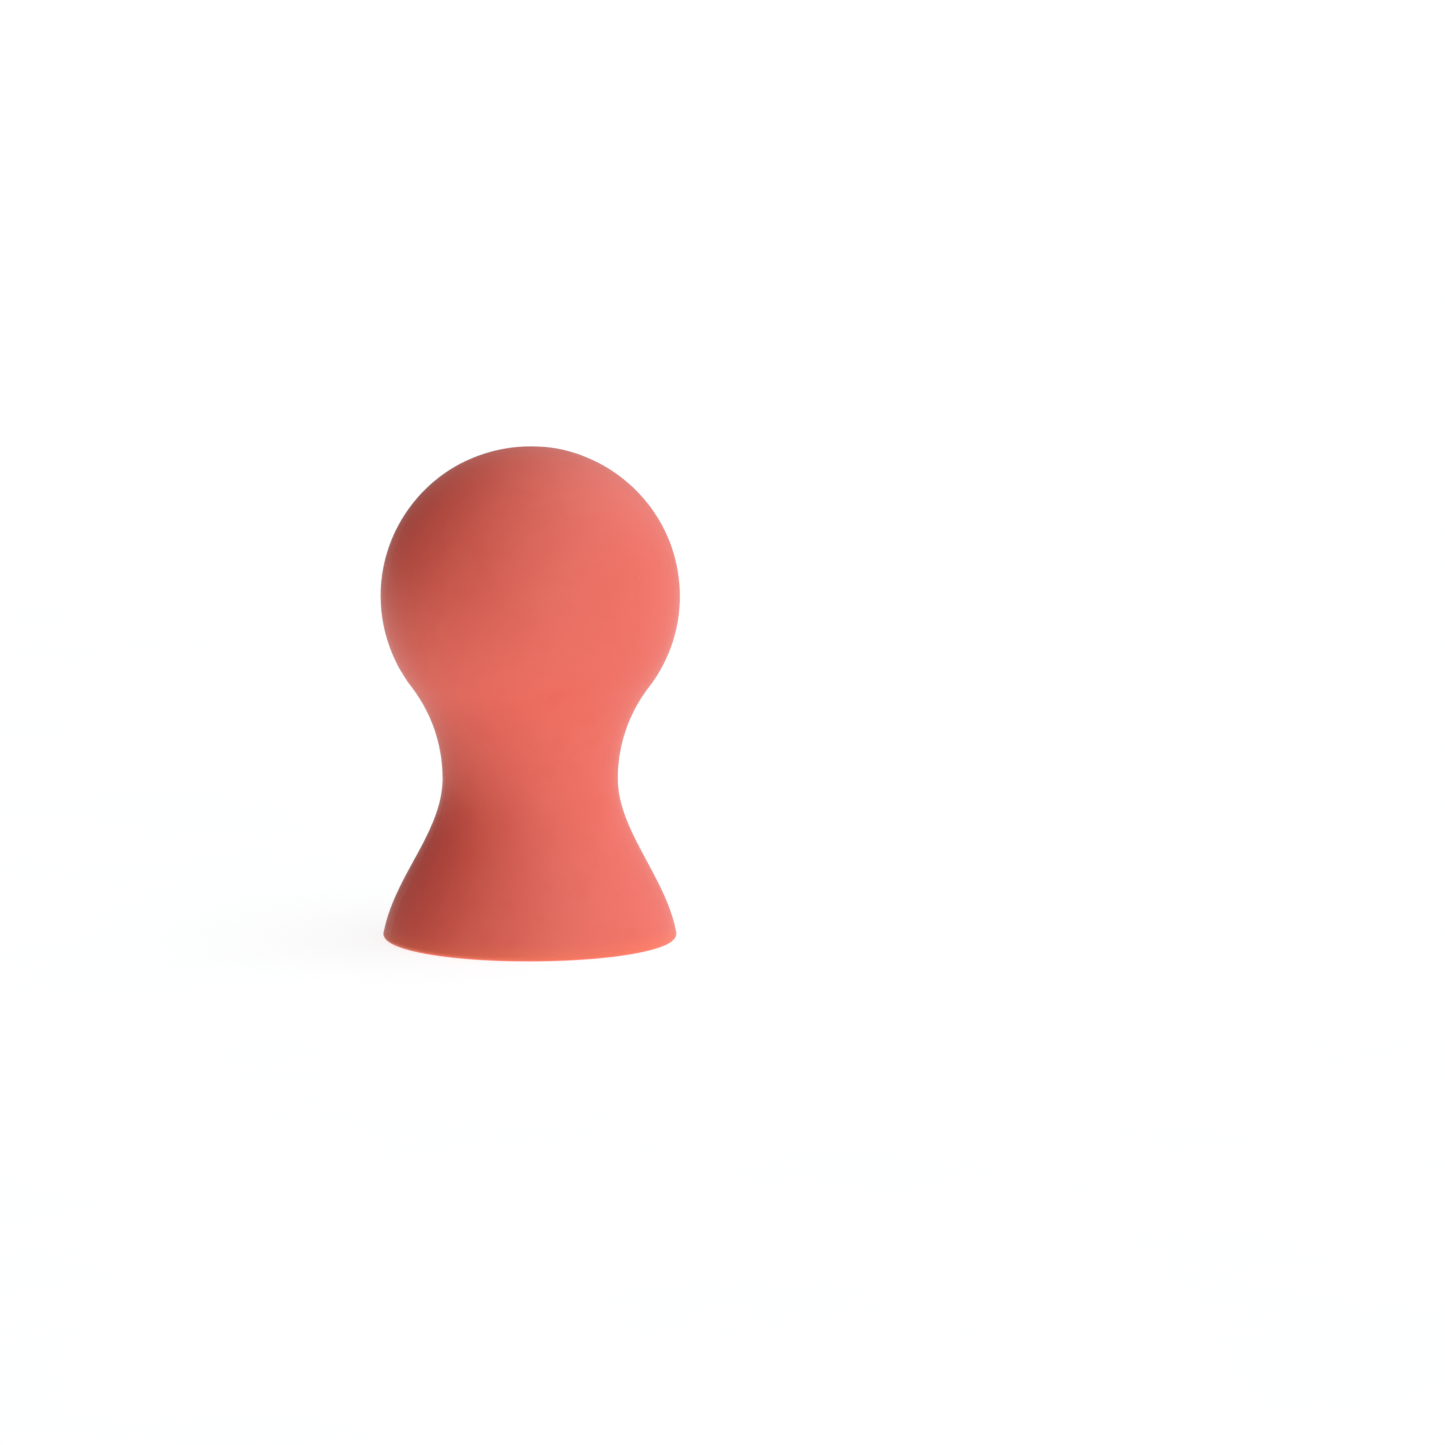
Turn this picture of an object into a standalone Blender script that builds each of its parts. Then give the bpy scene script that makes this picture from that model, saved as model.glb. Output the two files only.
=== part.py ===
"""Silicone cupping cup: a hollow squeeze bulb on a narrow neck with a flared mouth, standing on the mouth.

The real cup is one moulding. Here its wall is turned once and then cut, with a running gap, into the
zones that move against each other in use. X is the way the bulb is squeezed, Z is the cup's own axis.
"""

import math

import bpy
from mathutils import Matrix, Vector
from mathutils.geometry import interpolate_bezier

MM = 0.001

# Overall sizes of the moulding.
HEIGHT = 60.0 * MM
BULB_DIAMETER = 36.3 * MM
WAIST_DIAMETER = 21.4 * MM
WAIST_HEIGHT = 19.6 * MM
MOUTH_DIAMETER = 36.0 * MM

# Wall thickness, which grows towards the waist.
BULB_WALL = 2.5 * MM
WAIST_WALL = 3.0 * MM
RIM_WALL = 2.1 * MM

# How the skirt sweeps from the waist to the mouth.
WAIST_SWEEP = 6.8 * MM
MOUTH_SWEEP = 7.2 * MM
MOUTH_SLOPE = math.radians(8.9)

# Rounding of the lip, outside and inside its flat contact ring.
LIP_OUTER_ROUND = 0.45 * MM
LIP_INNER_ROUND = 0.4 * MM
LIP_HEIGHT = 3.2 * MM

# Where the moulding is divided into zones. The pressed walls are cut out by round cutters.
CLEARANCE = 0.3 * MM
TILT_BALL_RADIUS = 13.0 * MM
SHOULDER_HEIGHT = 31.2 * MM
PAD_RADIUS = 8.5 * MM
CROWN_RADIUS = 6.0 * MM

# Facets.
TURN_STEPS = 64
BALL_ARC_POINTS = 20
NECK_ARC_POINTS = 6
SKIRT_POINTS = 12
ROUND_POINTS = 4
ROUND_BLEND = 1.5
CUTTER_SIDES = 48
WELD = 0.01 * MM

BULB_RADIUS = BULB_DIAMETER / 2
BULB_CENTRE = Vector((0, 0, HEIGHT - BULB_RADIUS))
TILT_CENTRE = Vector((0, 0, WAIST_HEIGHT))

# Cutters: how far they reach, and how far from the bulb's centre the round ones start, clear of each other.
CUTTER_REACH = 2 * max(HEIGHT, BULB_DIAMETER, MOUTH_DIAMETER)
CUTTER_START = max(PAD_RADIUS, CROWN_RADIUS) + CLEARANCE

CORAL = (0.86, 0.20, 0.155, 1.0)
SATIN = 0.55
PIVOT_SIZE = 7.0 * MM

CUP = "silicone_cupping_cup"
CUTTERS = "cutters"


def clear_scene():
    """Remove what the scene starts with."""
    for obj in list(bpy.data.objects):
        bpy.data.objects.remove(obj)


def collection(name, hidden=False):
    """Make a collection in the scene."""
    made = bpy.data.collections.new(name)
    made.hide_render = hidden
    bpy.context.scene.collection.children.link(made)


def put_in(name, obj):
    """Put an object in a collection and take it out of any other."""
    for owner in list(obj.users_collection):
        owner.objects.unlink(obj)
    bpy.data.collections[name].objects.link(obj)


def arc(centre_r, centre_z, radius, start, end, count):
    """Points of a circular arc in the r-z plane, with angles measured up from +r."""
    angles = [start + (end - start) * i / (count - 1) for i in range(count)]
    return [(centre_r + radius * math.cos(a), centre_z + radius * math.sin(a)) for a in angles]


def wall_line(ball_radius, waist_radius):
    """One side of the wall from the top pole down to the waist: a ball that runs into a hollow neck arc."""
    rise = BULB_CENTRE.z - WAIST_HEIGHT
    neck_radius = (waist_radius**2 + rise**2 - ball_radius**2) / (2 * (ball_radius - waist_radius))
    neck_centre_r = waist_radius + neck_radius
    meet = math.atan2(rise, neck_centre_r)
    ball = arc(0, BULB_CENTRE.z, ball_radius, math.pi / 2, -meet, BALL_ARC_POINTS)
    neck = arc(neck_centre_r, WAIST_HEIGHT, neck_radius, math.pi - meet, math.pi, NECK_ARC_POINTS)
    return ball + neck[1:]


def skirt_line(waist_radius, mouth_radius):
    """One side of the wall from the waist down to the contact plane, as one cubic sweep."""
    waist = Vector((waist_radius, WAIST_HEIGHT, 0))
    mouth = Vector((mouth_radius, 0, 0))
    leaving = waist - Vector((0, WAIST_SWEEP, 0))
    arriving = mouth + MOUTH_SWEEP * Vector((-math.sin(MOUTH_SLOPE), math.cos(MOUTH_SLOPE), 0))
    points = interpolate_bezier(waist, leaving, arriving, mouth, SKIRT_POINTS)
    return [(point.x, point.y) for point in points]


def rounded_end(line, radius, side):
    """Replace the end of a line, where it meets the contact plane, with a round edge; side is +1 or -1."""
    upper = [point for point in line if point[1] > ROUND_BLEND * radius]
    foot_r = line[-1][0] - side * radius * (1 + math.tan(MOUTH_SLOPE))
    if side > 0:
        start, end = MOUTH_SLOPE, -math.pi / 2
    else:
        start, end = math.pi + MOUTH_SLOPE, 1.5 * math.pi
    return upper + arc(foot_r, radius, radius, start, end, ROUND_POINTS)


def moulding_profile():
    """The closed outline of the whole wall: down the outside, across the contact ring and up the inside."""
    waist, mouth = WAIST_DIAMETER / 2, MOUTH_DIAMETER / 2
    outside = wall_line(BULB_RADIUS, waist) + skirt_line(waist, mouth)[1:]
    inside = wall_line(BULB_RADIUS - BULB_WALL, waist - WAIST_WALL)
    inside += skirt_line(waist - WAIST_WALL, mouth - RIM_WALL)[1:]
    outside = rounded_end(outside, LIP_OUTER_ROUND, 1)
    inside = rounded_end(inside, LIP_INNER_ROUND, -1)
    profile = outside + inside[::-1]
    return [(0.0, profile[0][1]), *profile[1:-1], (0.0, profile[-1][1])]


def moulding_mesh():
    """Turn the outline into the whole one-piece cup."""
    mesh = bpy.data.meshes.new("moulding")
    points = moulding_profile()
    edges = [(i, i + 1) for i in range(len(points) - 1)]
    mesh.from_pydata([(r, 0, z) for r, z in points], edges, [])
    turned = bpy.data.objects.new("moulding", mesh)
    put_in(CUTTERS, turned)
    screw = turned.modifiers.new("Turn", "SCREW")
    screw.steps = screw.render_steps = TURN_STEPS
    screw.use_merge_vertices = True
    screw.merge_threshold = WELD
    bpy.context.view_layer.update()
    graph = bpy.context.evaluated_depsgraph_get()
    whole = bpy.data.meshes.new_from_object(turned.evaluated_get(graph))
    bpy.data.objects.remove(turned)
    return whole


def take_cutter(name):
    """Move the primitive just added to the cutters' collection."""
    cutter = bpy.context.active_object
    cutter.name = name
    put_in(CUTTERS, cutter)
    cutter.hide_render = True
    cutter.display_type = "WIRE"
    return cutter


def slab(name, low, high):
    """A cutter that holds every point between two heights."""
    bpy.ops.mesh.primitive_cube_add(size=1, location=(0, 0, (low + high) / 2))
    cutter = take_cutter(name)
    cutter.scale = (CUTTER_REACH, CUTTER_REACH, high - low)
    return cutter


def ball(name, radius):
    """A cutter round the point that the neck bends about."""
    bpy.ops.mesh.primitive_uv_sphere_add(
        segments=CUTTER_SIDES, ring_count=CUTTER_SIDES // 2, radius=radius, location=TILT_CENTRE
    )
    return take_cutter(name)


def plunger(name, direction, radius):
    """A round cutter that goes out from inside the bulb along one direction."""
    bpy.ops.mesh.primitive_cylinder_add(
        vertices=CUTTER_SIDES,
        radius=radius,
        depth=CUTTER_REACH,
        location=BULB_CENTRE + direction * (CUTTER_START + CUTTER_REACH / 2),
        rotation=direction.to_track_quat("Z", "Y").to_euler(),
    )
    return take_cutter(name)


def joined(name, cutters):
    """Several cutters that don't touch each other, as one."""
    bpy.ops.object.select_all(action="DESELECT")
    for cutter in cutters:
        cutter.select_set(True)
    bpy.context.view_layer.objects.active = cutters[0]
    bpy.ops.object.join()
    cutters[0].name = name
    return cutters[0]


def silicone(name):
    """The coral silicone of one zone."""
    material = bpy.data.materials.new(name)
    material.use_nodes = True
    shader = material.node_tree.nodes["Principled BSDF"]
    shader.inputs["Base Color"].default_value = CORAL
    shader.inputs["Roughness"].default_value = SATIN
    shader.inputs["Metallic"].default_value = 0.0
    material.diffuse_color = CORAL
    return material


def pivot(name, location, parent=None):
    """An empty on a joint's axis, which carries the pieces that move there."""
    empty = bpy.data.objects.new(name, None)
    empty.empty_display_size = PIVOT_SIZE
    put_in(CUP, empty)
    empty.location = location - (parent.matrix_world.translation if parent else Vector())
    empty.parent = parent
    bpy.context.view_layer.update()
    return empty


def zone(name, whole, carrier, kept=(), cut=()):
    """One zone of the moulding: the whole wall where every kept cutter is, without every cut one."""
    mesh = whole.copy()
    mesh.name = name
    mesh.transform(Matrix.Translation(-carrier.matrix_world.translation))
    mesh.materials.clear()
    mesh.materials.append(silicone(name))
    piece = bpy.data.objects.new(name, mesh)
    put_in(CUP, piece)
    piece.parent = carrier
    for operation, cutters in (("INTERSECT", kept), ("DIFFERENCE", cut)):
        for cutter in cutters:
            boolean = piece.modifiers.new(cutter.name, "BOOLEAN")
            boolean.operation = operation
            boolean.solver = "EXACT"
            boolean.object = cutter
    return piece


def build_mouth(whole, base, socket):
    """The lip that seals on the skin and the skirt above it, which stand still together."""
    half = CLEARANCE / 2
    lip_space = slab("lip_space", -CUTTER_REACH, LIP_HEIGHT - half)
    skirt_space = slab("skirt_space", LIP_HEIGHT + half, WAIST_HEIGHT)
    zone("sealing_lip", whole, base, kept=[lip_space])
    zone("mouth_skirt", whole, base, kept=[skirt_space], cut=[socket])


def build_bulb(whole, carrier, socket):
    """The squeeze bulb: its shoulder and frame, four pressed walls round its middle and the crown on top."""
    half = CLEARANCE / 2
    shoulder_space = slab("shoulder_space", WAIST_HEIGHT, SHOULDER_HEIGHT - half)
    frame_space = slab("frame_space", SHOULDER_HEIGHT + half, SHOULDER_HEIGHT + CUTTER_REACH)
    zone("bulb_shoulder", whole, carrier, kept=[shoulder_space], cut=[socket])
    windows = []
    for name, direction, radius in (
        ("thumb_pad", Vector((-1, 0, 0)), PAD_RADIUS),
        ("finger_pad", Vector((1, 0, 0)), PAD_RADIUS),
        ("front_wall", Vector((0, -1, 0)), PAD_RADIUS),
        ("rear_wall", Vector((0, 1, 0)), PAD_RADIUS),
        ("bulb_crown", Vector((0, 0, 1)), CROWN_RADIUS),
    ):
        windows.append(plunger(f"{name}_window", direction, radius + half))
        press = pivot(f"{name}_press", BULB_CENTRE + direction * BULB_RADIUS, carrier)
        zone(name, whole, press, kept=[plunger(f"{name}_space", direction, radius - half)])
    zone("bulb_frame", whole, carrier, kept=[frame_space], cut=[joined("windows", windows)])


def main():
    """Build the cup."""
    clear_scene()
    collection(CUP)
    collection(CUTTERS, hidden=True)
    whole = moulding_mesh()
    base = pivot("cup_base", Vector())
    neck_tilt = pivot("neck_tilt", TILT_CENTRE, base)
    bulb_tilt = pivot("bulb_tilt", TILT_CENTRE, neck_tilt)
    socket = ball("tilt_socket", TILT_BALL_RADIUS + CLEARANCE / 2)
    build_mouth(whole, base, socket)
    zone("neck", whole, neck_tilt, kept=[ball("neck_space", TILT_BALL_RADIUS - CLEARANCE / 2)])
    build_bulb(whole, bulb_tilt, socket)
    bpy.data.meshes.remove(whole)
    bpy.context.view_layer.update()


main()
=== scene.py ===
"""Looks of the silicone cupping cup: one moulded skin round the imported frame, in a white studio."""

from __future__ import annotations

import logging
import math
from dataclasses import dataclass, field
from enum import Enum
from functools import partial
from typing import Any, Callable, Iterable, Union

import bpy
import numpy as np
from mathutils import Matrix, Vector
from mathutils.geometry import interpolate_bezier

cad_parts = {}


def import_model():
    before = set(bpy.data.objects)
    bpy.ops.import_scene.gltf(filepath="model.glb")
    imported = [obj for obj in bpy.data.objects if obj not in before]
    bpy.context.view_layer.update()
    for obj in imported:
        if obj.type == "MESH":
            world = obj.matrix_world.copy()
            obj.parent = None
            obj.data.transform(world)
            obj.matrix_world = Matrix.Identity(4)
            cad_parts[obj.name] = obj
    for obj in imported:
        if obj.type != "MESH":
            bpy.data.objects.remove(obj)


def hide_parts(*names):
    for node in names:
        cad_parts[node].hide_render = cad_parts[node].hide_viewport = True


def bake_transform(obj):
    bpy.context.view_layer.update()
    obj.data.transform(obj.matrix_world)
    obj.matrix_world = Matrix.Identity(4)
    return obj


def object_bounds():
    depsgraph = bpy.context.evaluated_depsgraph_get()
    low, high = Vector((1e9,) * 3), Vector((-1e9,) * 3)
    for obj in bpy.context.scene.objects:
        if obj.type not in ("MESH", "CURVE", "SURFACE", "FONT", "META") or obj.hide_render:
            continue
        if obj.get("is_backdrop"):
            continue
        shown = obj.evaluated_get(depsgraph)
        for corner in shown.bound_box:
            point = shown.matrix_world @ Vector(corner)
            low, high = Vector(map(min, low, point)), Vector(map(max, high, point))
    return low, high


LOG = logging.getLogger("cupping_cup")
MM = 0.001

Point2 = tuple[float, float]
Value = Union["Port", float]
FaceTest = Callable[[np.ndarray], np.ndarray]


# ---------------------------------------------------------------- operators


def deselect_all() -> None:
    """Leave object mode with nothing selected, so that an operator acts only on what is picked next."""
    if bpy.context.mode != "OBJECT":
        bpy.ops.object.mode_set(mode="OBJECT")
    bpy.ops.object.select_all(action="DESELECT")


def pick(obj: bpy.types.Object) -> None:
    """Make one object the only selected and the active one.

    Args:
        obj: The object to work on.
    """
    deselect_all()
    obj.select_set(True)
    bpy.context.view_layer.objects.active = obj


def select_faces(obj: bpy.types.Object, chosen: np.ndarray) -> None:
    """Select some faces of an object, and nothing else, ready for edit mode.

    Args:
        obj: The object whose faces are picked.
        chosen: One truth value for each face.
    """
    mesh = obj.data
    mesh.vertices.foreach_set("select", np.zeros(len(mesh.vertices), bool))
    mesh.edges.foreach_set("select", np.zeros(len(mesh.edges), bool))
    mesh.polygons.foreach_set("select", chosen)
    mesh.update()
    bpy.context.tool_settings.mesh_select_mode = (False, False, True)


def select_vertices(obj: bpy.types.Object, chosen: np.ndarray) -> None:
    """Select some vertices of an object, and nothing else, ready for edit mode.

    Args:
        obj: The object whose vertices are picked.
        chosen: One truth value for each vertex.
    """
    mesh = obj.data
    mesh.polygons.foreach_set("select", np.zeros(len(mesh.polygons), bool))
    mesh.edges.foreach_set("select", np.zeros(len(mesh.edges), bool))
    mesh.vertices.foreach_set("select", chosen)
    mesh.update()
    bpy.context.tool_settings.mesh_select_mode = (True, False, False)


def vertex_points(obj: bpy.types.Object) -> np.ndarray:
    """Places of an object's vertices.

    Args:
        obj: The object that is read.

    Returns:
        An array of N rows of x, y and z.
    """
    points = np.empty(len(obj.data.vertices) * 3)
    obj.data.vertices.foreach_get("co", points)
    return points.reshape(-1, 3)


def face_centres(obj: bpy.types.Object) -> np.ndarray:
    """Places of the middles of an object's faces.

    Args:
        obj: The object that is read.

    Returns:
        An array of N rows of x, y and z.
    """
    centres = np.empty(len(obj.data.polygons) * 3)
    obj.data.polygons.foreach_get("center", centres)
    return centres.reshape(-1, 3)


# ------------------------------------------------------------------ shaders


class Port:
    """One output of a shader node, so that shader maths is written as an expression."""

    def __init__(self, sheet: "ShaderSheet", socket: bpy.types.NodeSocket) -> None:
        """Wrap a socket.

        Args:
            sheet: The node tree that new nodes are added to.
            socket: The output that is wrapped.
        """
        self.sheet = sheet
        self.socket = socket

    def _math(self, operation: str, *values: Value) -> "Port":
        """Add one Math node on this value and others.

        Args:
            operation: The Math node's operation.
            values: Its inputs, in order.

        Returns:
            The node's result.
        """
        inputs = dict(enumerate(values))
        return self.sheet.node("ShaderNodeMath", {"operation": operation}, inputs)

    def __add__(self, other: Value) -> "Port":
        """Sum."""
        return self._math("ADD", self, other)

    __radd__ = __add__

    def __sub__(self, other: Value) -> "Port":
        """Difference."""
        return self._math("SUBTRACT", self, other)

    def __rsub__(self, other: Value) -> "Port":
        """Difference the other way round."""
        return self._math("SUBTRACT", other, self)

    def __mul__(self, other: Value) -> "Port":
        """Product."""
        return self._math("MULTIPLY", self, other)

    __rmul__ = __mul__

    def __lt__(self, other: Value) -> "Port":
        """1 where this value is the smaller, else 0."""
        return self._math("LESS_THAN", self, other)

    def __gt__(self, other: Value) -> "Port":
        """1 where this value is the larger, else 0."""
        return self._math("GREATER_THAN", self, other)

    def lobe(self, sharpness: float) -> "Port":
        """A cosine raised to a power where it is positive, else 0.

        Args:
            sharpness: The power.

        Returns:
            The lobe's share.
        """
        return self._math("POWER", self._math("MAXIMUM", self, 0.0), sharpness)

    def between(self, low: float, high: float) -> "Port":
        """A smooth rise from 0 at low to 1 at high.

        Args:
            low: Where the rise starts.
            high: Where it ends; below low, the rise is a fall.

        Returns:
            The smoothed share.
        """
        settings = {"interpolation_type": "SMOOTHSTEP", "clamp": True}
        inputs = {"Value": self, "From Min": low, "From Max": high, "To Min": 0.0, "To Max": 1.0}
        return self.sheet.node("ShaderNodeMapRange", settings, inputs)


class ShaderSheet:
    """The node tree of one material or world, and the way nodes are added to it."""

    def __init__(self, tree: bpy.types.NodeTree) -> None:
        """Take over a node tree.

        Args:
            tree: The tree of a material or world that uses nodes.
        """
        self.tree = tree
        self.column = 0

    def node(
        self, kind: str, settings: dict[str, Any], inputs: dict[Any, Any], output: Any = 0
    ) -> Port:
        """Add a node, set it up and feed it.

        Args:
            kind: The node's type.
            settings: Its own settings; "stops" is a colour ramp's list of place and colour.
            inputs: A value or a Port for each socket, by name or number.
            output: The output that is wanted, by name or number.

        Returns:
            That output.
        """
        made = self.tree.nodes.new(kind)
        self.column += 1
        made.location = (180 * (self.column % 12), -260 * (self.column // 12))
        for name, value in settings.items():
            if name == "stops":
                self._set_stops(made.color_ramp, value)
            else:
                setattr(made, name, value)
        self.feed(made, inputs)
        return Port(self, made.outputs[output])

    def feed(self, target: bpy.types.Node, inputs: dict[Any, Any]) -> None:
        """Give a node's sockets their values or links.

        Args:
            target: The node.
            inputs: A value or a Port for each socket, by name or number.
        """
        for name, value in inputs.items():
            if isinstance(value, Port):
                self.tree.links.new(value.socket, target.inputs[name])
            else:
                target.inputs[name].default_value = value

    def vector(self, operation: str, first: Any, second: Any, output: str = "Vector") -> Port:
        """Add one Vector Math node.

        Args:
            operation: Its operation.
            first: A vector or a Port.
            second: A vector or a Port.
            output: "Vector", or "Value" for a number.

        Returns:
            Its output.
        """
        inputs = {0: first, 1: second}
        return self.node("ShaderNodeVectorMath", {"operation": operation}, inputs, output)

    @staticmethod
    def _set_stops(ramp: bpy.types.ColorRamp, stops: Iterable[tuple[float, tuple[float, ...]]]) -> None:
        """Write a colour ramp's stops."""
        for index, (place, colour) in enumerate(stops):
            if index >= len(ramp.elements):
                ramp.elements.new(place)
            ramp.elements[index].position = place
            ramp.elements[index].color = colour

    def noise(self, vector: Port, grain: float, detail: float = 3.0, output: str = "Fac") -> Port:
        """Add a noise texture.

        Args:
            vector: The coordinates it reads.
            grain: The size of its features, in metres.
            detail: How many finer layers it has.
            output: "Fac" for a number or "Color" for a colour.

        Returns:
            Its output.
        """
        inputs = {"Vector": vector, "Scale": 1.0 / grain, "Detail": detail, "Roughness": 0.55}
        return self.node("ShaderNodeTexNoise", {}, inputs, output)

    def blend(self, share: Value, first: Any, second: Any) -> Port:
        """Mix two colours.

        Args:
            share: How much of the second colour shows, 0 to 1.
            first: A colour or a Port.
            second: A colour or a Port.

        Returns:
            The mixed colour.
        """
        settings = {"data_type": "RGBA", "blend_type": "MIX", "clamp_factor": True}
        return self.node("ShaderNodeMix", settings, {0: share, 6: first, 7: second}, 2)


@dataclass(frozen=True)
class CoralSilicone:
    """Matte coral silicone as it comes out of a bead-blasted mould."""

    name: str = "coral_silicone"
    body: tuple[float, ...] = (0.86, 0.154, 0.121, 1.0)
    pale: tuple[float, ...] = (0.875, 0.165, 0.130, 1.0)
    deep: tuple[float, ...] = (0.84, 0.143, 0.111, 1.0)
    # foot: painted glow, lighter and more orange towards the contact plane, standing in for light through the
    # thin lip and bounce from the table
    foot: tuple[float, ...] = (0.97, 0.20, 0.115, 1.0)
    dust: tuple[float, ...] = (0.93, 0.50, 0.44, 1.0)
    flash: tuple[float, ...] = (0.90, 0.25, 0.20, 1.0)
    roughness: float = 0.50
    roughness_swing: float = 0.10
    dusty_roughness: float = 0.2
    cloud_size: float = 11.0 * MM
    cloud_share: float = 0.55
    patch_size: float = 3.2 * MM
    patch_share: float = 0.35
    painted_glow_height: float = 2.4 * MM
    painted_glow_share: float = 0.55
    flash_gaps: float = 2.4 * MM
    flash_share: float = 0.85
    speck_spacing: float = 3.6 * MM
    speck_reach: float = 0.022
    speck_rarity: float = 0.62
    speck_share: float = 0.7
    ior: float = 1.41
    gloss: float = 0.20
    sheen: float = 0.09
    sheen_roughness: float = 0.32
    sheen_tint: tuple[float, ...] = (1.0, 0.80, 0.76, 1.0)
    grain: float = 0.16 * MM
    grain_height: float = 0.0035 * MM

    def make(self) -> bpy.types.Material:
        """Build the material.

        Returns:
            The finished material.
        """
        material = bpy.data.materials.new(self.name)
        material.use_nodes = True
        sheet = ShaderSheet(material.node_tree)
        place = sheet.node("ShaderNodeTexCoord", {}, {}, "Object")
        cloud = sheet.noise(place, self.cloud_size, 2.0)
        patch = sheet.noise(place, self.patch_size, 3.0)
        grain = sheet.noise(place, self.grain, 4.0)
        colour = sheet.blend(cloud.between(0.35, 0.65) * self.cloud_share, self.body, self.pale)
        colour = sheet.blend(patch.between(0.50, 0.72) * self.patch_share, colour, self.deep)
        height = sheet.node("ShaderNodeSeparateXYZ", {}, {0: place}, "Z")
        # Painted glow: the skin turns lighter and more orange over the last few millimetres above the contact
        # plane, in place of light passing through the thin lip and bouncing up from the table.
        painted_glow = height.between(self.painted_glow_height, 0.0) * self.painted_glow_share
        colour = sheet.blend(painted_glow, colour, self.foot)
        line = sheet.node("ShaderNodeAttribute", {"attribute_name": "parting"}, {}, "Fac")
        broken = sheet.noise(place, self.flash_gaps, 2.0).between(0.42, 0.62)
        colour = sheet.blend(line * broken * self.flash_share, colour, self.flash)
        speck = self._specks(sheet, place)
        colour = sheet.blend(speck * self.speck_share, colour, self.dust)
        rough = (cloud - 0.5) * self.roughness_swing + self.roughness
        rough = rough + speck * self.dusty_roughness
        shader = material.node_tree.nodes["Principled BSDF"]
        bump_inputs = {"Strength": 1.0, "Distance": self.grain_height, "Height": grain}
        normal = sheet.node("ShaderNodeBump", {}, bump_inputs)
        sheet.feed(shader, {"Base Color": colour, "Roughness": rough, "Normal": normal})
        shader.inputs["IOR"].default_value = self.ior
        shader.inputs["Specular IOR Level"].default_value = self.gloss
        shader.inputs["Sheen Weight"].default_value = self.sheen
        shader.inputs["Sheen Roughness"].default_value = self.sheen_roughness
        shader.inputs["Sheen Tint"].default_value = self.sheen_tint
        return material

    def _specks(self, sheet: ShaderSheet, place: Port) -> Port:
        """Sparse grains of dust that cling to silicone.

        Args:
            sheet: The node tree.
            place: Object coordinates.

        Returns:
            1 on a speck, 0 elsewhere.
        """
        settings = {"feature": "F1"}
        inputs = {"Vector": place, "Scale": 1.0 / self.speck_spacing, "Randomness": 1.0}
        distance = sheet.node("ShaderNodeTexVoronoi", settings, inputs, "Distance")
        chance = sheet.node("ShaderNodeTexVoronoi", settings, inputs, "Color")
        red = sheet.node("ShaderNodeSeparateColor", {}, {0: chance}, 0)
        green = sheet.node("ShaderNodeSeparateColor", {}, {0: chance}, 1)
        return (distance < green * self.speck_reach) * (red > self.speck_rarity)


@dataclass(frozen=True)
class WhiteTable:
    """A white light table, which carries the cup and throws light up under it."""

    name: str = "white_table"
    paint: tuple[float, ...] = (0.22, 0.22, 0.22, 1.0)
    shade: tuple[float, ...] = (0.20, 0.20, 0.20, 1.0)
    tone_size: float = 40.0 * MM
    roughness: float = 0.9
    gloss: float = 0.1
    glow: float = 0.86
    glow_colour: tuple[float, ...] = (1.0, 1.0, 1.0, 1.0)

    def make(self) -> bpy.types.Material:
        """Build the material.

        Returns:
            The finished material.
        """
        material = bpy.data.materials.new(self.name)
        material.use_nodes = True
        sheet = ShaderSheet(material.node_tree)
        place = sheet.node("ShaderNodeTexCoord", {}, {}, "Object")
        tone = sheet.noise(place, self.tone_size, 2.0).between(0.3, 0.7)
        colour = sheet.blend(tone, self.paint, self.shade)
        shader = material.node_tree.nodes["Principled BSDF"]
        sheet.feed(shader, {"Base Color": colour, "Roughness": self.roughness})
        shader.inputs["Specular IOR Level"].default_value = self.gloss
        shader.inputs["Emission Color"].default_value = self.glow_colour
        shader.inputs["Emission Strength"].default_value = self.glow
        return material


# -------------------------------------------------------------------- shape


class Side(Enum):
    """The two sides of the wall."""

    OUTER = "outer"
    INNER = "inner"


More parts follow.
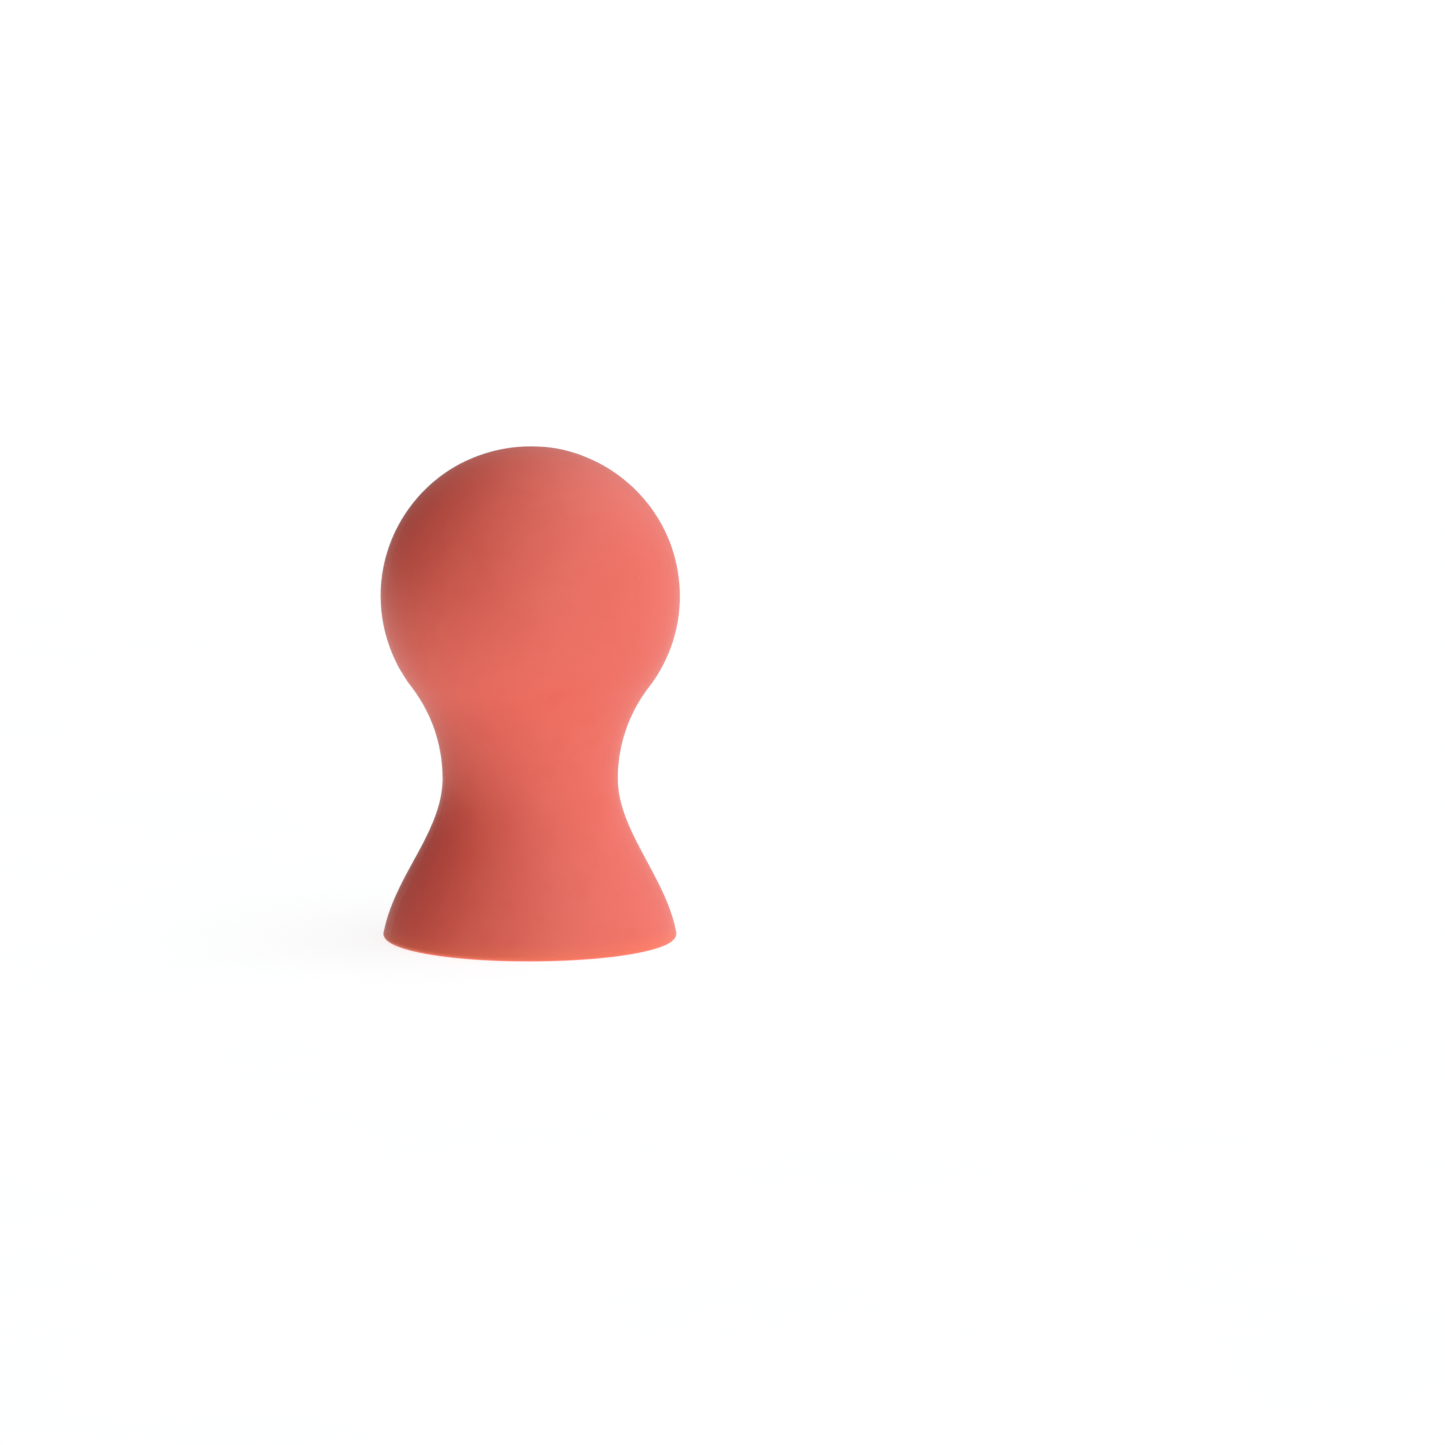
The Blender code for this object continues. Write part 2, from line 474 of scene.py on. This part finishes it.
@dataclass
class CupShape:
    """Sizes of the moulding, in metres, and its outline."""

    height: float = 60.0 * MM
    bulb_radius: float = 18.15 * MM
    bulb_wall: float = 2.5 * MM
    waist_radius: float = 10.7 * MM
    waist_wall: float = 3.0 * MM
    waist_height: float = 19.6 * MM
    mouth_radius: float = 18.0 * MM
    rim_wall: float = 2.1 * MM
    waist_sweep: float = 6.8 * MM
    mouth_sweep: float = 7.2 * MM
    mouth_slope: float = math.radians(8.9)
    lip_outer_round: float = 0.45 * MM
    lip_inner_round: float = 0.4 * MM
    rim_line_inset: float = 0.80 * MM
    rim_line_width: float = 0.16 * MM
    rim_line_depth: float = 0.07 * MM
    crown_points: int = 34
    ball_points: int = 60
    shoulder_points: int = 9
    neck_points: int = 20
    skirt_points: int = 46
    round_points: int = 9

    @property
    def bulb_centre(self) -> float:
        """Height of the bulb's centre."""
        return self.height - self.bulb_radius

    def radius_of(self, side: Side) -> float:
        """The ball's radius on one side of the wall."""
        return self.bulb_radius if side is Side.OUTER else self.bulb_radius - self.bulb_wall

    def waist_of(self, side: Side) -> float:
        """The waist's radius on one side of the wall."""
        return self.waist_radius if side is Side.OUTER else self.waist_radius - self.waist_wall

    @staticmethod
    def _arc(centre: Point2, radius: float, start: float, end: float, count: int) -> list[Point2]:
        """Points of a circular arc in the r-z plane.

        Args:
            centre: The arc's centre.
            radius: Its radius.
            start: Its first angle, measured up from +r.
            end: Its last angle.
            count: How many points it has.

        Returns:
            The points.
        """
        angles = np.linspace(start, end, count)
        return [(centre[0] + radius * math.cos(a), centre[1] + radius * math.sin(a)) for a in angles]

    def _neck(self, side: Side) -> tuple[float, float, float]:
        """The hollow neck arc on one side of the wall.

        Args:
            side: The side of the wall.

        Returns:
            The arc's radius, how far its centre is from the cup's axis, and the ring's height where
            the wall is as narrow as the bulb is at 45 degrees.
        """
        ball, waist = self.radius_of(side), self.waist_of(side)
        rise = self.bulb_centre - self.waist_height
        radius = (waist**2 + rise**2 - ball**2) / (2 * (ball - waist))
        reach = waist + radius
        ring = self.waist_height + math.sqrt(radius**2 - (reach - ball / math.sqrt(2.0)) ** 2)
        return radius, reach, ring

    def press_floor(self, side: Side) -> float:
        """Height below which no pressed side of the bulb moves."""
        return self._neck(side)[2]

    def _wall(self, side: Side) -> list[Point2]:
        """One side of the wall from top pole to waist, with a ring at each edge of the pressed parts."""
        ball = self.radius_of(side)
        neck, reach, ring = self._neck(side)
        centre = (0.0, self.bulb_centre)
        hollow = (reach, self.waist_height)
        meet = math.atan2(self.bulb_centre - self.waist_height, reach)
        edge = math.pi - math.asin((ring - self.waist_height) / neck)
        line = self._arc(centre, ball, math.pi / 2, math.pi / 4, self.crown_points)
        line += self._arc(centre, ball, math.pi / 4, -meet, self.ball_points)[1:]
        line += self._arc(hollow, neck, math.pi - meet, edge, self.shoulder_points)[1:]
        return line + self._arc(hollow, neck, edge, math.pi, self.neck_points)[1:]

    def _skirt(self, waist: float, mouth: float) -> list[Point2]:
        """One side of the wall from the waist to the contact plane, as one cubic sweep."""
        top = Vector((waist, self.waist_height, 0.0))
        foot = Vector((mouth, 0.0, 0.0))
        lean = Vector((-math.sin(self.mouth_slope), math.cos(self.mouth_slope), 0.0))
        leaving = top - Vector((0.0, self.waist_sweep, 0.0))
        line = interpolate_bezier(top, leaving, foot + self.mouth_sweep * lean, foot, self.skirt_points)
        return [(point.x, point.y) for point in line][1:]

    def _rounded(self, line: list[Point2], radius: float, side: Side) -> list[Point2]:
        """Replace a line's end, where it meets the contact plane, with a round edge."""
        sign = 1.0 if side is Side.OUTER else -1.0
        upper = [point for point in line if point[1] > 1.3 * radius]
        foot = line[-1][0] - sign * radius * (1.0 + math.tan(self.mouth_slope))
        start = self.mouth_slope if side is Side.OUTER else math.pi + self.mouth_slope
        end = -math.pi / 2 if side is Side.OUTER else 1.5 * math.pi
        return upper + self._arc((foot, radius), radius, start, end, self.round_points)

    def _side(self, side: Side) -> list[Point2]:
        """One whole side of the wall, from the top pole to the contact plane."""
        outer = side is Side.OUTER
        foot = self.mouth_radius if outer else self.mouth_radius - self.rim_wall
        line = self._wall(side) + self._skirt(self.waist_of(side), foot)
        return self._rounded(line, self.lip_outer_round if outer else self.lip_inner_round, side)

    def _rim_line(self) -> list[Point2]:
        """The fine groove that the mould's parting leaves round the rim face."""
        middle = self.mouth_radius - self.lip_outer_round * (1.0 + math.tan(self.mouth_slope))
        middle -= self.rim_line_inset - self.lip_outer_round + self.rim_line_width
        half = self.rim_line_width / 2
        return [
            (middle + half, 0.0),
            (middle + half * 0.35, self.rim_line_depth),
            (middle - half * 0.35, self.rim_line_depth),
            (middle - half, 0.0),
        ]

    def outline(self) -> list[Point2]:
        """The whole wall's outline.

        Returns:
            Points down the outside, across the rim face and up the inside.
        """
        outside, inside = self._side(Side.OUTER), self._side(Side.INNER)
        points = outside + self._rim_line() + inside[::-1]
        points[0] = (0.0, points[0][1])
        points[-1] = (0.0, points[-1][1])
        return points

    def turn_point(self) -> int:
        """How many of the outline's points lie on the outer side."""
        return len(self._side(Side.OUTER))


class Press(Enum):
    """Parts of the bulb that move on their own: body and CAD node, and the way they face."""

    THUMB = ("thumb_pad", "thumb_pad", (-1.0, 0.0, 0.0))
    FINGER = ("finger_pad", "finger_pad", (1.0, 0.0, 0.0))
    FRONT = ("front_wall", "front_wall", (0.0, -1.0, 0.0))
    REAR = ("rear_wall", "rear_wall", (0.0, 1.0, 0.0))
    CROWN = ("crown", "bulb_crown", (0.0, 0.0, 1.0))

    @property
    def body(self) -> str:
        """The CAD body it rides on."""
        return self.value[0]

    @property
    def node(self) -> str:
        """The CAD node it stands for."""
        return self.value[1]

    @property
    def facing(self) -> Vector:
        """The way it faces."""
        return Vector(self.value[2])

    def piece(self, side: Side) -> str:
        """Name of its piece on one side of the wall."""
        return f"{self.node}_{'skin' if side is Side.OUTER else 'lining'}"


@dataclass
class CupSkin:
    """The continuous silicone skin, parted only where every joint leaves it at rest."""

    shape: CupShape
    finish: bpy.types.Material
    parting_angle: float = math.radians(45.0)
    parting_half: float = math.radians(0.55)
    parting_height: float = 0.03 * MM
    parting_columns: int = 4
    column_step: float = math.radians(1.25)
    weld: float = 0.0008 * MM
    unevenness: float = 0.05 * MM
    swell_size: float = 14.0 * MM
    bend_below: float = 9.0 * MM
    pieces: list[bpy.types.Object] = field(default_factory=list)

    def build(self) -> list[bpy.types.Object]:
        """Turn the skin, detail it, part it, bake each piece in place and hide the frame's parts it covers.

        Returns:
            The finished pieces.
        """
        whole = self._turned()
        self._raise_parting_line(whole)
        self._make_uneven(whole)
        self._remember_normals(whole)
        for name, chosen in self._zones():
            self.pieces.append(self._part_off(whole, name, chosen))
        self.pieces.append(self._named(whole, "mouth_and_skirt"))
        for piece in self.pieces:
            self._restore_normals(piece)
        self._hang()
        return self.pieces

    # -- making the whole skin

    def _sectors(self) -> list[tuple[float, int]]:
        """Angles and steps of one turn from the parting line on, with a column on each pressed part's edge."""
        first = self.parting_angle + self.parting_half
        last = self.parting_angle + math.pi - self.parting_half
        edges = [math.radians(a) for a in (45.0, 135.0, 225.0)]
        stops = [first] + [edge for edge in edges if first < edge < last] + [last]
        spans = [end - start for start, end in zip(stops, stops[1:])]
        half_turn = [(span, round(span / self.column_step)) for span in spans]
        return (half_turn + [(2 * self.parting_half, self.parting_columns)]) * 2

    def _turned(self) -> bpy.types.Object:
        """Extrude the outline point by point and spin it into the whole skin."""
        outline = self.shape.outline()
        start = self.parting_angle + self.parting_half
        across = Vector((math.cos(start), math.sin(start), 0.0))
        places = [across * r + Vector((0.0, 0.0, z)) for r, z in outline]
        deselect_all()
        bpy.ops.mesh.primitive_plane_add(size=MM, location=places[0])
        skin = bpy.context.active_object
        skin.name = "cup_skin"
        bpy.ops.object.mode_set(mode="EDIT")
        bpy.ops.mesh.merge(type="CENTER")
        for here, there in zip(places, places[1:]):
            bpy.ops.mesh.extrude_vertices_move(TRANSFORM_OT_translate={"value": there - here})
        bpy.ops.mesh.select_all(action="SELECT")
        for angle, steps in self._sectors():
            bpy.ops.mesh.spin(steps=steps, angle=angle, center=(0, 0, 0), axis=(0, 0, -1))
        bpy.ops.mesh.select_all(action="SELECT")
        bpy.ops.mesh.remove_doubles(threshold=self.weld)
        bpy.ops.mesh.normals_make_consistent(inside=False)
        bpy.ops.object.mode_set(mode="OBJECT")
        bpy.ops.object.transform_apply(location=True, rotation=True, scale=True)
        return skin

    def _outer(self, points: np.ndarray) -> np.ndarray:
        """Which points lie on the outer side of the wall.

        Args:
            points: Rows of x, y and z.

        Returns:
            One truth value for each point.
        """
        outline = self.shape.outline()
        turn = self.shape.turn_point()
        outer = np.array(outline[:turn])[::-1]
        inner = np.array(outline[turn:])
        reach = np.hypot(points[:, 0], points[:, 1])
        height = points[:, 2]
        middle = (
            np.interp(height, outer[:, 1], outer[:, 0])
            + np.interp(height, inner[:, 1], inner[:, 0], right=0.0)
        ) / 2
        return (reach > middle) | (height > inner[-1, 1] + self.shape.bulb_wall / 2)

    def _raise_parting_line(self, skin: bpy.types.Object) -> None:
        """Raise the faint line of flash along the two meridians where the mould's halves met.

        Args:
            skin: The whole skin.
        """
        points = vertex_points(skin)
        along = np.array([math.cos(self.parting_angle), math.sin(self.parting_angle)])
        reach = np.hypot(points[:, 0], points[:, 1])
        aside = np.abs(points[:, 0] * along[1] - points[:, 1] * along[0])
        angle = np.arcsin(np.clip(aside / np.maximum(reach, 1e-9), 0.0, 1.0))
        outer = self._outer(points) & (reach > 0.4 * MM) & (points[:, 2] > 0.5 * MM)
        share = np.clip(1.0 - angle / self.parting_half, 0.0, 1.0) * outer
        attribute = skin.data.attributes.new("parting", "FLOAT", "POINT")
        attribute.data.foreach_set("value", share.astype(np.float32))
        for level in (0.4, 0.9):
            select_vertices(skin, share > level)
            pick(skin)
            bpy.ops.object.mode_set(mode="EDIT")
            bpy.ops.transform.shrink_fatten(value=self.parting_height / 2)
            bpy.ops.object.mode_set(mode="OBJECT")

    def _make_uneven(self, skin: bpy.types.Object) -> None:
        """Give the wall the slight unevenness of a soft moulding.

        Args:
            skin: The whole skin.
        """
        swell = bpy.data.textures.new("soft_swell", "CLOUDS")
        swell.noise_scale = self.swell_size
        swell.noise_depth = 1
        pick(skin)
        uneven = skin.modifiers.new("Uneven", "DISPLACE")
        uneven.texture = swell
        uneven.texture_coords = "LOCAL"
        uneven.strength = self.unevenness
        uneven.mid_level = 0.5
        bpy.ops.object.modifier_apply(modifier=uneven.name)
        bpy.data.textures.remove(swell)

    # -- parting it

    def _remember_normals(self, skin: bpy.types.Object) -> None:
        """Keep the whole skin's normals on its points, so that the pieces shade as one surface."""
        pick(skin)
        bpy.ops.object.shade_smooth()
        normals = np.empty(len(skin.data.vertices) * 3, np.float32)
        skin.data.vertex_normals.foreach_get("vector", normals)
        attribute = skin.data.attributes.new("whole_normal", "FLOAT_VECTOR", "POINT")
        attribute.data.foreach_set("vector", normals)

    def _restore_normals(self, piece: bpy.types.Object) -> None:
        """Shade a piece with the whole skin's normals."""
        attribute = piece.data.attributes["whole_normal"]
        normals = np.empty(len(piece.data.vertices) * 3, np.float32)
        attribute.data.foreach_get("vector", normals)
        piece.data.attributes.remove(attribute)
        pick(piece)
        bpy.ops.object.shade_smooth()
        piece.data.normals_split_custom_set_from_vertices(normals.reshape(-1, 3).tolist())

    def _zones(self) -> list[tuple[str, FaceTest]]:
        """The pieces that come off the whole skin, in order, each with a test on face centres."""
        zones: list[tuple[str, FaceTest]] = [
            (press.piece(side), partial(self._in_press, side=side, press=press))
            for side in Side
            for press in Press
        ]
        return zones + [("neck_and_shoulder", self._above_waist)]

    def _above_waist(self, centres: np.ndarray) -> np.ndarray:
        """Which faces lie above the waist."""
        return centres[:, 2] > self.shape.waist_height

    def _in_press(self, centres: np.ndarray, side: Side, press: Press) -> np.ndarray:
        """Which faces belong to one side of the wall within one pressed part of the bulb.

        Args:
            centres: The faces' middles.
            side: The side of the wall.
            press: The pressed part.

        Returns:
            One truth value for each face.
        """
        outer = self._outer(centres)
        here = outer if side is Side.OUTER else ~outer
        level = self.shape.radius_of(side) / math.sqrt(2.0)
        height = centres[:, 2] - self.shape.bulb_centre
        if press is Press.CROWN:
            return here & (height > level)
        facing = press.facing
        toward = centres[:, 0] * facing.x + centres[:, 1] * facing.y
        across = np.abs(centres[:, 0] * facing.y - centres[:, 1] * facing.x)
        above = centres[:, 2] > self.shape.press_floor(side)
        return here & above & (height < level) & (toward > across)

    def _part_off(self, whole: bpy.types.Object, name: str, test: FaceTest) -> bpy.types.Object:
        """Separate some faces into a piece of their own.

        Args:
            whole: What is left of the skin.
            name: The new piece's name.
            test: Says which face centres belong to it.

        Returns:
            The new piece.
        """
        select_faces(whole, test(face_centres(whole)))
        pick(whole)
        bpy.ops.object.mode_set(mode="EDIT")
        bpy.ops.mesh.separate(type="SELECTED")
        bpy.ops.object.mode_set(mode="OBJECT")
        made = next(obj for obj in bpy.context.selected_objects if obj != whole)
        return self._named(made, name)

    def _named(self, piece: bpy.types.Object, name: str) -> bpy.types.Object:
        """Name a piece and its mesh and give it the silicone.

        Args:
            piece: The piece.
            name: Its name.

        Returns:
            The same piece.
        """
        piece.name = piece.data.name = name
        piece.data.materials.clear()
        piece.data.materials.append(self.finish)
        return piece

    # -- hanging it on the frame

    def _hang(self) -> None:
        """Bake each piece in place and hide the frame's parts that it covers."""
        by_name = {piece.name: piece for piece in self.pieces}
        upper = Vector((0.0, 0.0, self.shape.press_floor(Side.OUTER)))
        skirt = by_name["mouth_and_skirt"]
        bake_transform(skirt)
        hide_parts("sealing_lip", "mouth_skirt")
        shoulder = by_name["neck_and_shoulder"]
        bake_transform(shoulder)
        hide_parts("neck", "bulb_shoulder", "bulb_frame")
        centre = Vector((0.0, 0.0, self.shape.bulb_centre))
        for press in Press:
            for side in Side:
                piece = by_name[press.piece(side)]
                reach = press.facing * self.shape.radius_of(side)
                start = centre + reach / math.sqrt(2.0)
                centre + reach
                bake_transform(piece)
                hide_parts(press.node)


# ------------------------------------------------------------------- studio


@dataclass(frozen=True)
class SoftLight:
    """A broad soft patch of light in the surround, placed from the camera's side of the cup."""

    side: float
    height: float
    level: float
    sharpness: float
    tint: tuple[float, float, float]


@dataclass
class Studio:
    """White table, soft daylight from one side, and the camera."""

    azimuth: float = math.radians(25.0)
    elevation: float = math.radians(7.21)
    roll: float = math.radians(0.36)
    distance: float = 577.0 * MM
    aim_right: float = 23.40 * MM
    aim_up: float = 26.54 * MM
    lens: float = 118.07
    table_radius: float = 6.0
    table_drop: float = 0.02 * MM
    sensor: float = 36.0
    clip_start: float = 10.0 * MM
    shadow_curve: tuple[Point2, ...] = ((0.06, 0.044), (0.10, 0.086), (0.18, 0.18), (0.5, 0.5))
    backdrop: tuple[float, ...] = (1.05, 1.05, 1.05, 1.0)
    fill: float = 0.01
    lights: tuple[SoftLight, ...] = (
        SoftLight(math.radians(78.0), math.radians(58.0), 2.5, 8.0, (0.97, 1.10, 1.14)),
        SoftLight(math.radians(24.0), 0.0, 3.8, 12.0, (1.0, 1.04, 1.08)),
        SoftLight(math.radians(140.0), math.radians(30.0), 1.0, 5.0, (0.97, 1.10, 1.14)),
        SoftLight(math.radians(212.0), math.radians(12.0), 0.30, 8.0, (1.0, 1.0, 1.0)),
    )

    def build(self) -> None:
        """Make the table, the light and the camera."""
        self._table()
        self._daylight()
        self._camera()
        self._develop()

    def _axes(self) -> tuple[Vector, Vector, Vector]:
        """The camera's level right, its up and the way back to it."""
        sin_a, cos_a = math.sin(self.azimuth), math.cos(self.azimuth)
        sin_e, cos_e = math.sin(self.elevation), math.cos(self.elevation)
        right = Vector((cos_a, sin_a, 0.0))
        back = Vector((sin_a * cos_e, -cos_a * cos_e, sin_e))
        return right, back.cross(right), back

    def _toward(self, light: SoftLight) -> Vector:
        """The way from the cup to the middle of a patch of light."""
        right, _, back = self._axes()
        level_back = Vector((back.x, back.y, 0.0)).normalized()
        level = right * math.sin(light.side) + level_back * math.cos(light.side)
        return level * math.cos(light.height) + Vector((0.0, 0.0, math.sin(light.height)))

    def _table(self) -> None:
        """A round white table top under the cup."""
        deselect_all()
        bpy.ops.mesh.primitive_circle_add(
            vertices=96, radius=self.table_radius, fill_type="NGON", location=(0, 0, -self.table_drop)
        )
        table = bpy.context.active_object
        table.name = "table"
        bpy.ops.object.transform_apply(location=True, rotation=True, scale=True)
        table.data.materials.append(WhiteTable().make())
        table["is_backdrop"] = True

    def _daylight(self) -> None:
        """A white surround lit by a few broad patches, brightest on the camera's right."""
        world = bpy.data.worlds.new("studio")
        bpy.context.scene.world = world
        world.use_nodes = True
        tree = world.node_tree
        sheet = ShaderSheet(tree)
        way = sheet.node("ShaderNodeTexCoord", {}, {}, "Generated")
        glow: Any = (self.fill,) * 3
        for light in self.lights:
            slope = sheet.vector("DOT_PRODUCT", way, self._toward(light), "Value")
            level = {0: light.tint, "Scale": slope.lobe(light.sharpness) * light.level}
            patch = sheet.node("ShaderNodeVectorMath", {"operation": "SCALE"}, level)
            glow = sheet.vector("ADD", glow, patch)
        seen = sheet.node("ShaderNodeLightPath", {}, {}, "Is Camera Ray")
        backdrop = sheet.blend(seen, glow, self.backdrop)
        sheet.feed(tree.nodes["Background"], {"Color": backdrop, "Strength": 1.0})

    def _develop(self) -> None:
        """Develop the picture plainly, with slightly deeper shadows."""
        settings = bpy.context.scene.view_settings
        settings.view_transform = "Standard"
        settings.use_curve_mapping = True
        curve = settings.curve_mapping.curves[3]
        for place, level in self.shadow_curve:
            curve.points.new(place, level)
        settings.curve_mapping.update()

    def _camera(self) -> None:
        """The camera, looking a little down at the cup from the height of a seated eye."""
        right, up, back = self._axes()
        target = right * self.aim_right + Vector((0.0, 0.0, self.aim_up))
        lean = Matrix.Rotation(self.roll, 3, back)
        turned = Matrix((lean @ right, lean @ up, back)).transposed().to_4x4()
        camera_data = bpy.data.cameras.new("camera")
        camera_data.sensor_width = self.sensor
        camera_data.lens = self.lens
        camera_data.clip_start = self.clip_start
        camera = bpy.data.objects.new("camera", camera_data)
        bpy.context.scene.collection.objects.link(camera)
        camera.matrix_world = Matrix.Translation(target + back * self.distance) @ turned
        bpy.context.scene.camera = camera


# --------------------------------------------------------------------- main


def main() -> None:
    """Load the frame, skin it, light it and note its size."""
    logging.basicConfig(level=logging.INFO, format="%(name)s: %(message)s")
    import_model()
    cad_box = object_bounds()
    shape = CupShape(height=cad_box[1].z)
    skin = CupSkin(shape, CoralSilicone().make())
    for piece in skin.build():
        LOG.info("%s: %d faces", piece.name, len(piece.data.polygons))
    Studio().build()


if __name__ == "__main__":
    main()
